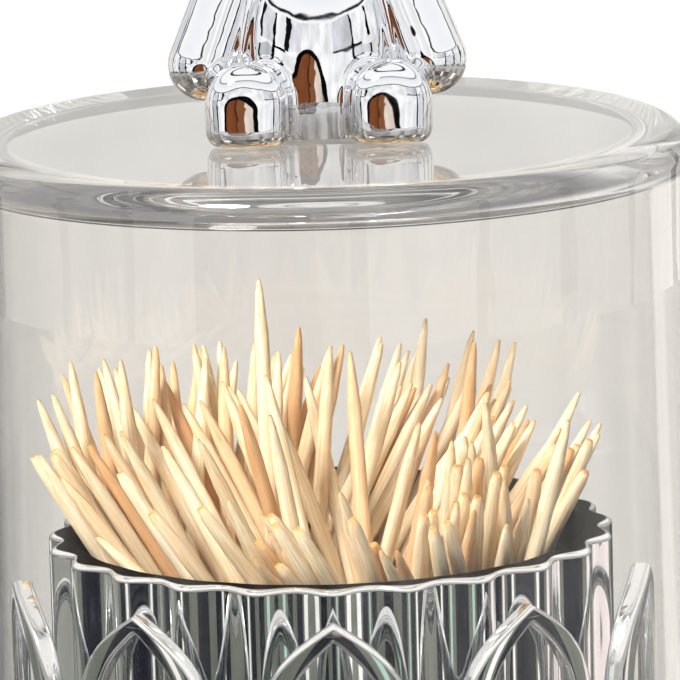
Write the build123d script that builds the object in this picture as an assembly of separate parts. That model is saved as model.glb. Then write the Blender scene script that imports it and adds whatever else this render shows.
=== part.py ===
from build123d import *
import math
import os
import numpy as np

# Toothpick holder: plated base and fluted cup, clear lift-off cover, bear figure as the knob.
# Millimetres, +Z up, front towards -Y, base standing on z = 0.

# Clearances
cover_seat_gap = 0.4        # cover wall to the base's centring step, radial
cup_seat_gap = 0.3          # cup to its recess in the base, radial
slot_gap = 0.2              # gallery tab to its slot, all round
pad_gap = 0.3               # foot pad to its recess, radial
pick_gap = 0.12             # aimed for between neighbouring picks
pick_least_gap = 0.03       # a pick closer than this to another is left out
pick_rest_gap = 0.05        # pick tip to the cup floor

# Foot pad
pad_inset = 3.0             # base's rim to the pad's edge
pad_thickness = 2.0
pad_proud = 0.4             # how far the pad stands below the base's skirt

# Base tray
base_brim = 3.0             # how far the base stands out past the cover
base_edge_radius = 1.2
base_wall = 2.0
ledge_z = 5.0               # where the cover stands
step_height = 3.0           # centring step above the ledge
recess_depth = 1.5          # cup recess in the step's top
step_lead = 0.8             # chamfer that leads the cover onto the step
pad_lip = 0.8               # width of the land the pad's edge is glued to
rib_count = 6
rib_thickness = 1.6
rib_start_radius = 8.0
rib_sink = 0.2              # how far each rib runs into the plate above it

# Fluted cup
flute_count = 24
flute_depth = 1.6
cup_wall = 2.0              # at the bottom of a flute
cup_floor = 2.0
cup_depth = 45.0
cup_floor_fillet = 1.5
cup_rim_fillet = 0.8        # inner edge of the rim

# Gallery petals
petal_angles = (-70.0, -35.0, 0.0, 35.0, 70.0)
petal_cover_gap = 0.3       # petal to the narrowest part of the cover's wall
petal_cup_gap = 2.5         # flute crest to petal
petal_thickness = 2.0
petal_width = 18.4
petal_below_rim = 2.8
petal_side_stroke = 3.2
petal_top_stroke = 2.2
petal_stem = 10.2           # solid stem below the opening
petal_leaf_start = 1.0      # leaf's lowest point above the step
petal_widest = 0.62         # where the leaf is broadest, as a share of its height
petal_lower_height = 0.42   # a point on the lower edge: share of the way up to the broadest place
petal_lower_width = 0.62    # and its share of the half width
petal_upper_height = 0.68   # a point on the upper edge: share of the way up to the tip
petal_upper_width = 0.66
petal_foot_width = 12.0
petal_foot_height = 3.0
petal_tab_width = 8.0
petal_tab_depth = 1.2

# Cover
cover_above_rim = 46.8      # cup rim to the cover's top
cover_top_thickness = 3.5
cover_inner_top_radius = 38.2
cover_draft = 1.4           # how much wider the cover is inside at its foot
cover_foot_wall = 3.4       # cover's wall at its foot
cover_edge_radius = 3.0
cover_inner_edge_radius = 2.0
cover_foot_radius = 0.5     # rounding of the open end

# Bear figure, from its flat underside
adhesive_radius = 7.5
adhesive_thickness = 0.3
bear_split_y = -1.0         # seam between the two halves
bear_shell = 1.8
belly_radius = 10.4
belly_height = 25.0
belly_sunk = 17.0           # how much of the belly's oval is cut away below, which leaves it a broad foot
head_radius = 9.4
head_z = 32.5
neck_bore_radius = 3.0
muzzle_radius = 4.2
muzzle_forward = 7.5
muzzle_drop = 2.2
nose_radius = 1.4
nose_forward = 11.5
nose_drop = 0.8
eye_radius = 1.1
eye_forward = 7.9
eye_spread = 3.4
eye_rise = 2.9
ear_radius = 3.7
ear_thickness = 3.4
ear_edge_round = 0.95       # rounding of the ear's edge, as a share of half its thickness
ear_spread = 7.2
ear_rise = 7.6
tail_radius = 2.6
tail_back = 9.5
tail_z = 4.2
shoulder_x = 8.6
shoulder_z = 20.0
shoulder_radius = 3.8
paw_x = 13.1
paw_z = 8.1
paw_forward = 2.4
paw_radius = 4.2
hip_x = 5.6
hip_radius = 4.4
ankle_x = 8.0
ankle_forward = 8.0
ankle_radius = 4.2
foot_x = 8.2
foot_forward = 10.1
foot_radius = 4.8
foot_height = 9.4

# Toothpicks
pick_count = 158
pick_length = 65.0
pick_diameter = 1.9
pick_tip_diameter = 0.5
pick_taper = 9.0
pick_sides = 8
pick_core_radius = 3.2      # clear column kept in the middle of the bunch
pick_cover_gap = 1.2        # pick tips to the cover's wall
pick_crowding = 0.40        # under a half, more of the picks stand near the wall
pick_inner_lean = 14.0      # degrees, before the bunch settles
pick_outer_lean = 44.0
pick_lean_spread = 4.0
pick_swirl = -6.0           # how far the fan is twisted about the cup's axis
pick_swirl_spread = 7.0
pick_set_back = 12.0        # feet set back, so that the bunch leans to the front
pick_lift = 0.5             # how far a pick may rest above the floor on others
tall_pick_lift = 9.0        # the one pick that stands proud of the rest
tall_pick_foot = (-6.0, 1.0)
tall_pick_rim = (-7.0, 3.0)
pick_seed = 11
settle_rounds = 900
settle_push = 0.3           # share of an overlap that one round clears
settle_pull = 0.6           # share that one round brings back within the walls
settle_least_level = 0.35   # least level part of a push, so that crossing picks still move
lean_allowance = 0.65       # room beside a wall for a leaning pick, in diameters

# Radii and levels that follow
cover_inner_foot_radius = cover_inner_top_radius + cover_draft
cover_outer_radius = cover_inner_foot_radius + cover_foot_wall
base_radius = cover_outer_radius + base_brim
pad_radius = base_radius - pad_inset
petal_mid_radius = cover_inner_top_radius - petal_cover_gap - petal_thickness / 2
flute_crest_radius = petal_mid_radius - petal_thickness / 2 - petal_cup_gap
cup_inner_radius = flute_crest_radius - flute_depth - cup_wall
step_z = ledge_z + step_height
recess_z = step_z - recess_depth
cup_floor_z = recess_z + cup_floor
rim_z = cup_floor_z + cup_depth
cover_top_z = rim_z + cover_above_rim
bear_z = cover_top_z + adhesive_thickness
skirt_z = pad_proud
recess_radius = flute_crest_radius + cup_seat_gap
step_radius = cover_inner_foot_radius - cover_seat_gap


def turned(points):
    """Solid of revolution about Z from (radius, height) corner points."""
    outline = Polyline(*[(r, 0, z) for r, z in points], close=True)
    return revolve(make_face(outline), axis=Axis.Z)


def top_circle(body, radius):
    """Highest round edge of that radius."""
    rounds = body.edges().filter_by(GeomType.CIRCLE)
    return rounds.filter_by(lambda edge: abs(edge.radius - radius) < 1e-6).sort_by(Axis.Z)[-1]


def foot_pad():
    return Pos(0, 0, pad_thickness / 2) * Cylinder(pad_radius, pad_thickness)


def petal_slot(angle):
    width = petal_tab_width + 2 * slot_gap
    depth = petal_tab_depth + slot_gap
    ring = curved_bar(width, petal_thickness + 2 * slot_gap, depth, step_z - depth)
    return Rot(0, 0, angle) * ring


def base_tray():
    pad_top = pad_thickness
    under_recess = recess_z - base_wall
    under_step = step_z - base_wall
    body = turned([
        (0, recess_z), (recess_radius, recess_z), (recess_radius, step_z), (step_radius, step_z),
        (step_radius, ledge_z), (base_radius, ledge_z), (base_radius, skirt_z),
        (pad_radius + pad_gap, skirt_z), (pad_radius + pad_gap, pad_top),
        (pad_radius - pad_lip, pad_top), (pad_radius - pad_lip, ledge_z - base_wall),
        (step_radius - base_wall, ledge_z - base_wall), (step_radius - base_wall, under_step),
        (recess_radius + base_wall, under_step), (recess_radius + base_wall, under_recess),
        (0, under_recess),
    ])
    body = fillet(top_circle(body, base_radius), base_edge_radius)
    body = chamfer(top_circle(body, step_radius), step_lead)
    rib_length = recess_radius - rib_start_radius
    rib_height = under_recess - pad_top + rib_sink
    rib = Pos(rib_start_radius, 0, pad_top) * Box(
        rib_length, rib_thickness, rib_height, align=(Align.MIN, Align.CENTER, Align.MIN))
    for k in range(rib_count):
        body += Rot(0, 0, 360.0 * k / rib_count) * rib
    for angle in petal_angles:
        body -= petal_slot(angle)
    return body


def flute_outline():
    """Closed wave of alternating convex and concave arcs."""
    valley = flute_crest_radius - flute_depth
    middle = flute_crest_radius - flute_depth / 2
    pitch = 360.0 / flute_count
    arcs = []
    for k in range(2 * flute_count):
        centre = k * pitch / 2
        bulge = flute_crest_radius if k % 2 == 0 else valley
        arcs.append(ThreePointArc(
            polar(middle, centre - pitch / 4), polar(bulge, centre), polar(middle, centre + pitch / 4)))
    return make_face(arcs)


def polar(radius, degrees):
    return (radius * math.cos(math.radians(degrees)), radius * math.sin(math.radians(degrees)))


def fluted_cup():
    body = Pos(0, 0, recess_z) * extrude(flute_outline(), rim_z - recess_z)
    bore = Pos(0, 0, cup_floor_z + cup_depth / 2) * Cylinder(cup_inner_radius, cup_depth)
    body -= fillet(bore.edges().group_by(Axis.Z)[0], cup_floor_fillet)
    return fillet(top_circle(body, cup_inner_radius), cup_rim_fillet)


def gallery_ring(thickness, height):
    """Ring in which the petals stand."""
    outside = Cylinder(petal_mid_radius + thickness / 2, height)
    return outside - Cylinder(petal_mid_radius - thickness / 2, height)


def curved_bar(width, thickness, height, bottom_z):
    """Bar bent to the gallery's radius, in the middle of the front."""
    block = Pos(0, -petal_mid_radius, 0) * Box(width, petal_mid_radius, height)
    return Pos(0, 0, bottom_z + height / 2) * (gallery_ring(thickness, height) & block)


def petal_outline(half_width, bottom, top, widest):
    """Pointed leaf, broadest near its top, as a face standing on the XZ plane."""
    lower = bottom + petal_lower_height * (widest - bottom)
    upper = widest + petal_upper_height * (top - widest)
    right = [(0, bottom), (petal_lower_width * half_width, lower), (half_width, widest),
             (petal_upper_width * half_width, upper), (0, top)]
    left = [(-x, z) for x, z in right]
    curves = [Spline(*right), Spline(*left)]
    return Plane.XZ * make_face(curves)


def gallery_petal(angle):
    top = rim_z - petal_below_rim
    bottom = step_z + petal_leaf_start
    widest = bottom + petal_widest * (top - bottom)
    half = petal_width / 2
    leaf = petal_outline(half, bottom, top, widest)
    leaf -= petal_outline(half - petal_side_stroke, bottom + petal_stem, top - petal_top_stroke, widest)
    plate = extrude(leaf, petal_mid_radius + petal_thickness, dir=(0, -1, 0))
    body = plate & (Pos(0, 0, step_z) * gallery_ring(petal_thickness, 2 * (top - step_z)))
    body += curved_bar(petal_foot_width, petal_thickness, petal_foot_height, step_z)
    body += curved_bar(petal_tab_width, petal_thickness, petal_tab_depth, step_z - petal_tab_depth)
    return Rot(0, 0, angle) * body


def cover():
    under_top = cover_top_z - cover_top_thickness
    height = cover_top_z - ledge_z
    outside = Pos(0, 0, ledge_z + height / 2) * Cylinder(cover_outer_radius, height)
    outside = fillet(outside.edges().group_by(Axis.Z)[-1], cover_edge_radius)
    inside = turned([
        (0, ledge_z), (cover_inner_foot_radius, ledge_z), (cover_inner_foot_radius, step_z),
        (cover_inner_top_radius, under_top), (0, under_top)])
    inside = fillet(inside.edges().group_by(Axis.Z)[-1], cover_inner_edge_radius)
    body = outside - inside
    return fillet(body.edges().group_by(Axis.Z)[0], cover_foot_radius)


def capsule(start, end, start_radius, end_radius):
    """Limb: two balls and the cone between them."""
    a = Vector(*start)
    b = Vector(*end)
    along = Plane(origin=a, z_dir=b - a)
    length = (b - a).length
    limb = Pos(*start) * Sphere(start_radius) + Pos(*end) * Sphere(end_radius)
    return limb + along * (Pos(0, 0, length / 2) * Cone(start_radius, end_radius, length))


def pebble(centre, radius, thickness):
    """Flat round with a full rounded edge, its face towards the front."""
    edge = thickness / 2
    disc = fillet(Cylinder(radius, thickness).edges().filter_by(GeomType.CIRCLE), edge * ear_edge_round)
    return Pos(*centre) * (Rot(90, 0, 0) * disc)


def dome(radius, height):
    """Upright round with a ball for its top, standing on z = 0."""
    straight = height - radius
    return Pos(0, 0, straight / 2) * Cylinder(radius, straight) + Pos(0, 0, straight) * Sphere(radius)


def belly(radius, bottom, top):
    """Ellipse turned about Z."""
    half = (top - bottom) / 2
    section = Plane.XZ * (Pos(0, (top + bottom) / 2) * Ellipse(radius, half))
    right = section & Plane.XZ * (Pos(radius, bottom + half) * Rectangle(2 * radius, 4 * half))
    return revolve(right, axis=Axis.Z)


def bear_figure():
    body = belly(belly_radius, -belly_sunk, belly_height)
    body += Pos(0, bear_split_y, head_z) * Sphere(head_radius)
    body += Pos(0, bear_split_y - muzzle_forward, head_z - muzzle_drop) * Sphere(muzzle_radius)
    body += Pos(0, bear_split_y - nose_forward, head_z - nose_drop) * Sphere(nose_radius)
    body += Pos(0, tail_back, tail_z) * Sphere(tail_radius)
    for side in (-1, 1):
        shoulder = (side * shoulder_x, bear_split_y, shoulder_z)
        paw = (side * paw_x, bear_split_y - paw_forward, paw_z)
        body += capsule(shoulder, paw, shoulder_radius, paw_radius)
        hip = (side * hip_x, bear_split_y, hip_radius)
        ankle = (side * ankle_x, bear_split_y - ankle_forward, ankle_radius)
        body += capsule(hip, ankle, hip_radius, ankle_radius)
        body += Pos(side * foot_x, bear_split_y - foot_forward, 0) * dome(foot_radius, foot_height)
        ear = (side * ear_spread, bear_split_y, head_z + ear_rise)
        body += pebble(ear, ear_radius, ear_thickness)
        body += Pos(side * eye_spread, bear_split_y - eye_forward, head_z + eye_rise) * Sphere(eye_radius)
    upwards = (Align.CENTER, Align.CENTER, Align.MIN)
    body &= Box(8 * belly_radius, 8 * belly_radius, 4 * head_z, align=upwards)
    hollow = belly(belly_radius - bear_shell, bear_shell, belly_height - bear_shell)
    hollow += Pos(0, bear_split_y, head_z) * Sphere(head_radius - bear_shell)
    hollow += Pos(0, bear_split_y, belly_height - bear_shell) * Cylinder(neck_bore_radius, head_radius)
    return Pos(0, 0, bear_z) * (body - hollow)


def bear_half(figure, front):
    side = Align.MAX if front else Align.MIN
    half = Box(8 * belly_radius, 4 * belly_radius, 4 * head_z, align=(Align.CENTER, side, Align.MIN))
    return figure & (Pos(0, bear_split_y, bear_z) * half)


def adhesive_disc():
    return Pos(0, 0, cover_top_z + adhesive_thickness / 2) * Cylinder(adhesive_radius, adhesive_thickness)


def spindle(rings, sides):
    """Flat-sided round stock from (height, radius) rings, closed at both ends."""
    loops = []
    for z, r in rings:
        turn = [2 * math.pi * k / sides for k in range(sides)]
        loops.append([(r * math.cos(t), r * math.sin(t), z) for t in turn])
    faces = [Face(Wire.make_polygon(loops[0])), Face(Wire.make_polygon(loops[-1]))]
    for low, high in zip(loops, loops[1:]):
        for k in range(sides):
            n = (k + 1) % sides
            faces.append(Face(Wire.make_polygon([low[k], low[n], high[n], high[k]])))
    return Solid(Shell(faces))


def pick_starts():
    """First guess: a fan of picks, each leaning outwards where it passes the rim."""
    chance = np.random.default_rng(pick_seed)
    k = np.arange(pick_count)
    turn = k * math.pi * (3 - math.sqrt(5))
    radius = (cup_inner_radius - pick_diameter) * ((k + 0.5) / pick_count) ** pick_crowding
    rim = np.stack([radius * np.cos(turn), radius * np.sin(turn)], 1)
    outward = radius / cup_inner_radius
    lean = pick_inner_lean + (pick_outer_lean - pick_inner_lean) * outward
    lean = np.radians(lean + chance.uniform(-pick_lean_spread, pick_lean_spread, pick_count))
    swirl = pick_swirl + chance.uniform(-pick_swirl_spread, pick_swirl_spread, pick_count)
    heading = turn + np.radians(swirl)
    run = cup_depth * np.tan(lean)[:, None]
    floor = rim - run * np.stack([np.cos(heading), np.sin(heading)], 1)
    floor[:, 1] += pick_set_back
    lift = chance.uniform(0, pick_lift, pick_count)
    tall = np.argmin(np.linalg.norm(rim - np.array(tall_pick_rim), axis=1))
    lift[tall] = tall_pick_lift
    return floor, rim, lift, tall


def pick_axes(floor, rim):
    rise = np.column_stack([rim - floor, np.full(len(rim), cup_depth)])
    start = np.column_stack([floor, np.zeros(len(floor))])
    return start, rise / np.linalg.norm(rise, axis=1, keepdims=True)


def nearest(start, along, lift, i, j):
    """Closest approach of each pair of picks: how far along each, the gap vector and its length."""
    apart = start[i] - start[j]
    b = (along[i] * along[j]).sum(1)
    d = (along[i] * apart).sum(1)
    e = (along[j] * apart).sum(1)
    s = np.clip((b * e - d) / np.maximum(1 - b * b, 1e-9), lift[i], lift[i] + pick_length)
    t = np.clip(b * s + e, lift[j], lift[j] + pick_length)
    s = np.clip(b * t - d, lift[i], lift[i] + pick_length)
    gap = apart + s[:, None] * along[i] - t[:, None] * along[j]
    return s, t, gap, np.linalg.norm(gap, axis=1)


def keep_within(points, limit):
    radius = np.linalg.norm(points, axis=1)
    out = radius > limit
    points[out] *= (limit / radius[out])[:, None]


def settle_picks():
    """Push crossing picks apart until the bunch rests in the cup, then drop any that still touch.

    The tall pick is held where it stands, and the others make room for it.
    """
    floor, rim, lift, tall = pick_starts()
    i, j = np.triu_indices(pick_count, 1)
    wanted = pick_diameter + pick_gap
    rim_limit = cup_inner_radius - lean_allowance * pick_diameter - pick_gap
    floor_limit = cup_inner_radius - cup_floor_fillet - pick_diameter
    tip_limit = cover_inner_top_radius - pick_cover_gap
    core_limit = pick_core_radius + lean_allowance * pick_diameter
    for _ in range(settle_rounds):
        floor[tall] = tall_pick_foot
        rim[tall] = tall_pick_rim
        start, along = pick_axes(floor, rim)
        s, t, gap, length = nearest(start, along, lift, i, j)
        hit = length < wanted
        unit = gap[hit, :2] / np.maximum(length[hit], 1e-6)[:, None]
        level = np.maximum(np.linalg.norm(unit, axis=1, keepdims=True), settle_least_level)
        push = settle_push * (wanted - length[hit])[:, None] * unit / level ** 2
        for index, reach, sign in ((i[hit], s[hit], 1), (j[hit], t[hit], -1)):
            part = (reach * along[index, 2] / cup_depth)[:, None]
            share = sign * push / ((1 - part) ** 2 + part ** 2)
            np.add.at(floor, index, share * (1 - part))
            np.add.at(rim, index, share * part)
        keep_within(floor, floor_limit)
        keep_within(rim, rim_limit)
        start, along = pick_axes(floor, rim)
        tip = start[:, :2] + along[:, :2] * (pick_length + lift)[:, None]
        tip_radius = np.linalg.norm(tip, axis=1)
        over = np.maximum(tip_radius - tip_limit, 0) / tip_radius
        rim -= settle_pull * tip * over[:, None]
        lead = rim - floor
        part = np.clip(-(floor * lead).sum(1) / np.maximum((lead ** 2).sum(1), 1e-6), 0, 1)
        inner = floor + part[:, None] * lead
        inner_radius = np.maximum(np.linalg.norm(inner, axis=1), 1e-3)
        inside = np.maximum(core_limit - inner_radius, 0) / inner_radius
        out = settle_pull * inner * inside[:, None]
        floor += out
        rim += out
    start, along = pick_axes(floor, rim)
    length = nearest(start, along, lift, i, j)[3]
    kept = np.ones(pick_count, bool)
    for pair in np.argsort(length):
        if length[pair] >= pick_diameter + pick_least_gap:
            break
        if kept[i[pair]] and kept[j[pair]]:
            kept[j[pair]] = False
    return start[kept], along[kept], lift[kept]


def toothpicks():
    tip = pick_tip_diameter / 2
    rings = [(0, tip), (pick_taper, pick_diameter / 2), (pick_length - pick_taper, pick_diameter / 2),
             (pick_length, tip)]
    pick = spindle(rings, pick_sides)
    bunch = []
    for start, along, lift in zip(*settle_picks()):
        lean = math.sqrt(max(1 - along[2] ** 2, 0))
        foot = start + along * lift + np.array([0, 0, cup_floor_z + tip * lean + pick_rest_gap])
        bunch.append(Plane(origin=tuple(foot), z_dir=tuple(along)) * pick)
    return Compound(bunch)


def write(node, shape):
    export_step(shape, os.path.join("parts", node + ".step"))
    print(node, len(shape.solids()), "solid(s), volume", round(shape.volume, 1))


os.makedirs("parts", exist_ok=True)
write("foot_pad", foot_pad())
write("base_tray", base_tray())
write("fluted_cup", fluted_cup())
for number, angle in enumerate(petal_angles, 1):
    write("gallery_petal_" + str(number), gallery_petal(angle))
write("cover", cover())
write("bear_adhesive_disc", adhesive_disc())
bear = bear_figure()
write("bear_front_shell", bear_half(bear, True))
write("bear_rear_shell", bear_half(bear, False))
write("toothpicks", toothpicks())
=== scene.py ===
import math
import bmesh
import bpy
import numpy as np
from mathutils import Matrix, Vector


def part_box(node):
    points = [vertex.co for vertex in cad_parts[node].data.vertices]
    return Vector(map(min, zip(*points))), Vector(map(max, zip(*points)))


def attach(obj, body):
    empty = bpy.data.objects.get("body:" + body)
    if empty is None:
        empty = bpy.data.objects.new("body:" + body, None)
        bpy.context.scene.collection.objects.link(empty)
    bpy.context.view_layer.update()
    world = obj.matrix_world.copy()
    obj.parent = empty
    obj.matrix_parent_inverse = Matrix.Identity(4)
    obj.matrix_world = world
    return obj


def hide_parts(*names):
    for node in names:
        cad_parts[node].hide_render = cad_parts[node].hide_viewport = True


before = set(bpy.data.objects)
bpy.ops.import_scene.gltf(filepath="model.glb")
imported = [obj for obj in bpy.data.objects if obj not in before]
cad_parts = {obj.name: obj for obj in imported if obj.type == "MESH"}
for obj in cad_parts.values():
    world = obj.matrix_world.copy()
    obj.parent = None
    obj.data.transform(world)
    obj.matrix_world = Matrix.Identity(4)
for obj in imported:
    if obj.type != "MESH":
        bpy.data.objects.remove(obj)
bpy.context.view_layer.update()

# Toothpick holder: chrome cup of picks under a clear acrylic cover with a bear knob.
scene = bpy.context.scene
mm = 0.001
mergeDistance = 1e-6


def linearColour(hexCode):  # sRGB hex to linear
    channels = [int(hexCode[i:i + 2], 16) / 255 for i in (1, 3, 5)]
    return [c / 12.92 if c <= 0.04045 else ((c + 0.055) / 1.055) ** 2.4 for c in channels] + [1.0]


def setInputs(node, values):
    for name, value in values.items():
        isHex = isinstance(value, str) and value.startswith("#")
        node.inputs[name].default_value = linearColour(value) if isHex else value


def join(tree, node, links):  # a node as a link's source stands for its first output
    for name, source in links.items():
        tree.links.new(source.outputs[0] if isinstance(source, bpy.types.Node) else source, node.inputs[name])


def addNode(tree, kind, settings=None, values=None, links=None):  # a kind with no family is a shader node
    node = tree.nodes.new(kind if "Node" in kind else "ShaderNode" + kind)
    for name, value in (settings or {}).items():
        setattr(node, name, value)
    setInputs(node, values or {})
    join(tree, node, links or {})
    return node


def newMaterial(name, surface):
    material = bpy.data.materials.new(name)
    material.use_nodes = True
    tree = material.node_tree
    shader = tree.nodes["Principled BSDF"]
    setInputs(shader, surface)
    return material, tree, shader


def unevenGloss(tree, shader, look):  # roughness that wanders between two values, in marks of a given size
    place = addNode(tree, "TexCoord").outputs["Object"]
    marks = addNode(tree, "TexNoise", values={
        "Scale": 1 / look["markSize"], "Detail": look["markDetail"]}, links={"Vector": place})
    (start, end), (low, high) = look["markRange"], look["roughness"]
    gloss = addNode(tree, "MapRange", values={
        "From Min": start, "From Max": end, "To Min": low, "To Max": high}, links={"Value": marks})
    join(tree, shader, {"Roughness": gloss})
    return place, gloss


def newPiece(name, data, material=None):
    piece = bpy.data.objects.new(name, data)
    scene.collection.objects.link(piece)
    if material:
        data.materials.clear()
        data.materials.append(material)
    return piece


def seat(piece, body, node):
    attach(piece, body)
    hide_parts(node)


def smoothFaces(mesh, sharpAngle):
    mesh.shade_smooth()
    mesh.set_sharp_from_angle(angle=math.radians(sharpAngle))


def meshFrom(work, name):
    mesh = bpy.data.meshes.new(name)
    work.to_mesh(mesh)
    work.free()
    return mesh


def plainMesh(holder):  # evaluated shape of an object that is needed for nothing else
    bpy.context.view_layer.update()
    mesh = bpy.data.meshes.new_from_object(holder.evaluated_get(bpy.context.evaluated_depsgraph_get()))
    holder.modifiers.clear()
    bpy.data.objects.remove(holder)
    return mesh


# Chrome plate: electroplated bright nickel-chrome on a polished casting.
# Gives a hard mirror with a slow ripple left by the polishing wheel and faint wiping marks.
chromeLook = {"colour": "#E4E6E8", "roughness": (0.02, 0.08), "markSize": 14 * mm, "markDetail": 4.0,
              "markRange": (0.45, 0.8), "rippleSize": 7 * mm, "rippleDepth": 0.02 * mm, "rippleStrength": 0.6}
# The bear is a small casting that a wheel can't reach into, so its mirror is more uneven.
castChromeLook = {**chromeLook, "colour": "#ECEDEF", "roughness": (0.02, 0.07), "markSize": 9 * mm,
                  "rippleSize": 3 * mm, "rippleDepth": 0.08 * mm}
# The cup's inside and the top of its rim are painted shade: a near-black, dull, glossless colour stands in
# for the shadow just inside the rim.
cupChromeLook = {**chromeLook, "roughness": (0.02, 0.07), "inside": "#15110E", "insideRoughness": 0.6,
                 "insideGloss": 0.0, "paintedShadeEnds": (0.78, 0.86)}


def makeChrome(name, look):
    material, tree, shader = newMaterial(name, {"Base Color": look["colour"], "Metallic": 1.0})
    place, gloss = unevenGloss(tree, shader, look)
    # painted shade: near black, dull and glossless on the inside and the rim's top, fading to chrome across
    # the wall
    if "inside" in look:
        setInputs(shader, {"Specular IOR Level": look["insideGloss"]})
        wall = addNode(tree, "Attribute", {"attribute_name": "wallShare"}).outputs["Fac"]
        start, full = look["paintedShadeEnds"]
        unshadedShare = addNode(tree, "MapRange", values={"From Min": start, "From Max": full},
                         links={"Value": wall})
        colour = addNode(tree, "Mix", {"data_type": "RGBA"}, {6: look["inside"], 7: look["colour"]},
                         {0: unshadedShare})
        dull = addNode(tree, "MapRange", values={"To Min": look["insideRoughness"]},
                       links={"Value": unshadedShare, "To Max": gloss})
        join(tree, shader, {"Base Color": colour.outputs[2], "Roughness": dull, "Metallic": unshadedShare})
    ripple = addNode(tree, "TexNoise", values={"Scale": 1 / look["rippleSize"], "Detail": 1.0},
                     links={"Vector": place})
    bump = addNode(tree, "Bump", values={"Strength": look["rippleStrength"], "Distance": look["rippleDepth"]},
                   links={"Height": ripple})
    join(tree, shader, {"Normal": bump})
    return material


# Cast acrylic, flame-polished at the edges: water clear, with the faintest warm grey in its thickness.
acrylicLook = {"colour": "#F0EEEB", "ior": 1.49, "haze": 0.002, "roughness": (0.0, 0.02), "markSize": 5 * mm,
               "markDetail": 6.0, "markRange": (0.62, 0.85)}
# Clear double-sided gel: slightly milky, with a soft grain.
gelLook = {"colour": "#E9E9E7", "ior": 1.46, "haze": 0.3, "roughness": (0.25, 0.45), "markSize": 1.2 * mm,
           "markDetail": 3.0, "markRange": (0.0, 1.0)}


def makeClear(name, look):
    material, tree, shader = newMaterial(name, {
        "Base Color": look["colour"], "IOR": look["ior"], "Transmission Weight": 1 - look["haze"]})
    unevenGloss(tree, shader, look)
    return material


# Bare bamboo: split, turned round and pointed; pale with tan fibres that run the length of each pick.
bambooLook = {"pale": "#F7ECD1", "tan": "#E2BC7F", "dark": "#C5802A", "endGrain": "#B98644",
              "roughness": 0.62, "gloss": 0.35, "fibreWidth": 0.22 * mm, "fibreLength": 9 * mm,
              "fibreDepth": 0.03 * mm, "fibreStrength": 0.5, "fibreDetail": 5.0, "fibreRoughness": 0.6,
              "streakRange": (0.38, 0.72), "pickShift": (3.1, 1.7, 2.3), "darkFrom": 0.6, "darkest": 0.7}


def makeBamboo():
    look = bambooLook
    material, tree, shader = newMaterial("bareBamboo", {
        "Roughness": look["roughness"], "Specular IOR Level": look["gloss"]})
    fields = (("grainPlace", "Vector"), ("pickTone", "Fac"), ("cutEnd", "Fac"))
    along, tone, cutEnd = [addNode(tree, "Attribute", {"attribute_name": name}).outputs[kind]
                           for name, kind in fields]
    shift = addNode(tree, "VectorMath", {"operation": "SCALE"}, {0: look["pickShift"]}, {"Scale": tone})
    place = addNode(tree, "VectorMath", {"operation": "ADD"}, links={0: along, 1: shift})
    across, length = 1 / look["fibreWidth"], 1 / look["fibreLength"]
    stretch = addNode(tree, "Mapping", values={"Scale": (across, across, length)}, links={"Vector": place})
    fibre = addNode(tree, "TexNoise", values={
        "Scale": 1.0, "Detail": look["fibreDetail"], "Roughness": look["fibreRoughness"]},
        links={"Vector": stretch})
    start, end = look["streakRange"]
    streak = addNode(tree, "MapRange", values={"From Min": start, "From Max": end}, links={"Value": fibre})
    depth = addNode(tree, "MapRange", values={"From Min": look["darkFrom"], "To Max": look["darkest"]},
                    links={"Value": tone})
    mixed = addNode(tree, "Mix", {"data_type": "RGBA"}, {6: look["pale"], 7: look["tan"]}, {0: streak})
    toned = addNode(tree, "Mix", {"data_type": "RGBA"}, {7: look["dark"]}, {0: depth, 6: mixed.outputs[2]})
    ended = addNode(tree, "Mix", {"data_type": "RGBA"}, {7: look["endGrain"]},
                    {0: cutEnd, 6: toned.outputs[2]})
    bump = addNode(tree, "Bump", values={"Strength": look["fibreStrength"], "Distance": look["fibreDepth"]},
                   links={"Height": fibre})
    join(tree, shader, {"Base Color": ended.outputs[2], "Normal": bump})
    return material


# Closed-cell foam sheet, die cut: dull black with fine pores.
foamLook = {"colour": "#1B1B1C", "pore": "#0D0D0E", "poreSize": 0.5 * mm, "poreDepth": 0.08 * mm,
            "poreStrength": 0.7, "roughness": 0.9, "gloss": 0.25}


def makeFoam():
    look = foamLook
    material, tree, shader = newMaterial("closedCellFoam", {
        "Roughness": look["roughness"], "Specular IOR Level": look["gloss"]})
    place = addNode(tree, "TexCoord").outputs["Object"]
    pores = addNode(tree, "TexVoronoi", values={"Scale": 1 / look["poreSize"]}, links={"Vector": place})
    colour = addNode(tree, "Mix", {"data_type": "RGBA"}, {6: look["pore"], 7: look["colour"]}, {0: pores})
    bump = addNode(tree, "Bump", values={"Strength": look["poreStrength"], "Distance": look["poreDepth"]},
                   links={"Height": pores})
    join(tree, shader, {"Base Color": colour.outputs[2], "Normal": bump})
    return material


chrome = makeChrome("polishedChromePlate", chromeLook)
castChrome = makeChrome("castChromePlate", castChromeLook)
cupChrome = makeChrome("cupChromePlate", cupChromeLook)
acrylic = makeClear("clearCastAcrylic", acrylicLook)
bamboo = makeBamboo()
foam = makeFoam()
gel = makeClear("clearAdhesiveGel", gelLook)
print("materials ready")


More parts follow.
